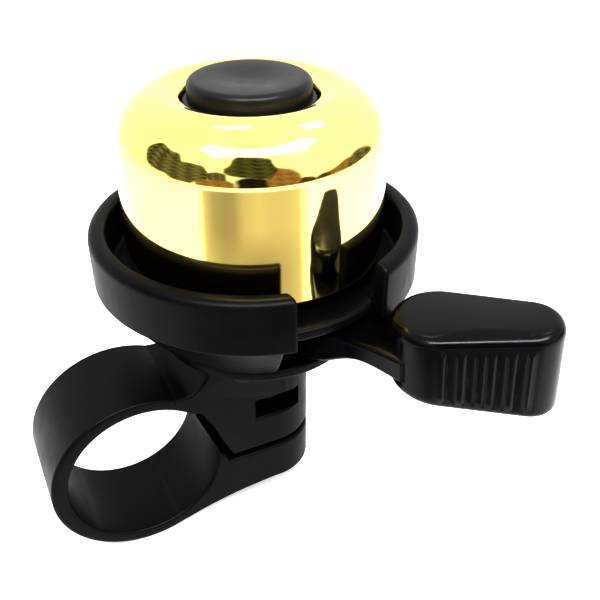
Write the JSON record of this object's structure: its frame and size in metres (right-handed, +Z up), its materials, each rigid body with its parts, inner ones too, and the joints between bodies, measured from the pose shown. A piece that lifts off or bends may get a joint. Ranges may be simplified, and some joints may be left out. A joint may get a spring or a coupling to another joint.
{
  "type": "bicycle bell",
  "caption": "Brass dome bell in a black cup with a ribbed thumb lever, on a screw-tightened band clamp for a 22.2 mm handlebar.",
  "frame": {"origin": "centre of the handlebar bore, midway along the band", "axes": "+Y along the handlebar, +Z up and parallel to the dome's axis, +X from the handlebar towards the dome's axis"},
  "size_m": [0.0569, 0.0612, 0.0654],
  "materials": {
    "polished_brass": "mirror-polished and lacquered",
    "plain_brass": "machined",
    "satin_black_nylon": "fine satin moulding",
    "gloss_black_nylon": "glossy moulding",
    "zinc_steel": "zinc plated",
    "turned_steel": "turned",
    "spring_steel": "drawn and blued",
    "black_rubber": "matt"
  },
  "bodies": {
    "base": {"clamp_body": "satin_black_nylon", "clamp_nut": "zinc_steel", "threaded_insert": "plain_brass", "base_cup": "satin_black_nylon", "base_screws": "zinc_steel", "stop_bumper": "black_rubber", "thrust_washer": "turned_steel", "return_spring": "spring_steel", "centre_spindle": "turned_steel", "retaining_ring": "spring_steel", "bell_dome": "polished_brass", "lower_isolator": "black_rubber", "upper_isolator": "black_rubber", "dome_washer": "zinc_steel", "dome_screw": "zinc_steel", "top_cap": "gloss_black_nylon"},
    "lever": {"thumb_lever": "gloss_black_nylon", "lever_bush": "plain_brass", "striker_bracket": "zinc_steel"},
    "striker": {"striker_leaf": "spring_steel", "striker_rivet": "plain_brass", "striker_weight": "plain_brass"},
    "band": {"clamp_band": "satin_black_nylon"},
    "screw_carrier": {"clamp_washer": "zinc_steel"},
    "screw": {"clamp_screw": "zinc_steel"}
  },
  "joints": [
    {"name": "lever_turn", "type": "hinge", "parent": "base", "child": "lever", "pos_m": [0.0208, 0, 0.0195], "axis": [0, 0, 1], "range_deg": [0, 25], "stiffness_Nm_per_rad": 0.15, "springref_deg": -11.46, "deforming": ["return_spring"]},
    {"name": "striker_flex", "type": "hinge", "parent": "lever", "child": "striker", "pos_m": [0.01649, 0.01184, 0.0289], "axis": [-0.9397, -0.342, 0], "range_deg": [0, 3], "stiffness_Nm_per_rad": 0.002},
    {"name": "clamp_advance", "type": "slide", "parent": "base", "child": "screw_carrier", "axis": [0, 0, -1], "range_m": [0, 0.002]},
    {"name": "clamp_screw_turn", "type": "hinge", "parent": "screw_carrier", "child": "screw", "pos_m": [0.0208, 0, 0], "axis": [0, 0, -1], "range_deg": [0, 1028.67]},
    {"name": "band_opening", "type": "hinge", "parent": "base", "child": "band", "pos_m": [-0.012, 0, 0], "axis": [0, 1, 0], "range_deg": [0, 3.01]}
  ],
  "couplings": [
    {"joint": "clamp_screw_turn", "follows": "clamp_advance", "rad_per_m": 8976},
    {"joint": "band_opening", "follows": "clamp_advance", "rad_per_m": 26.18}
  ]
}
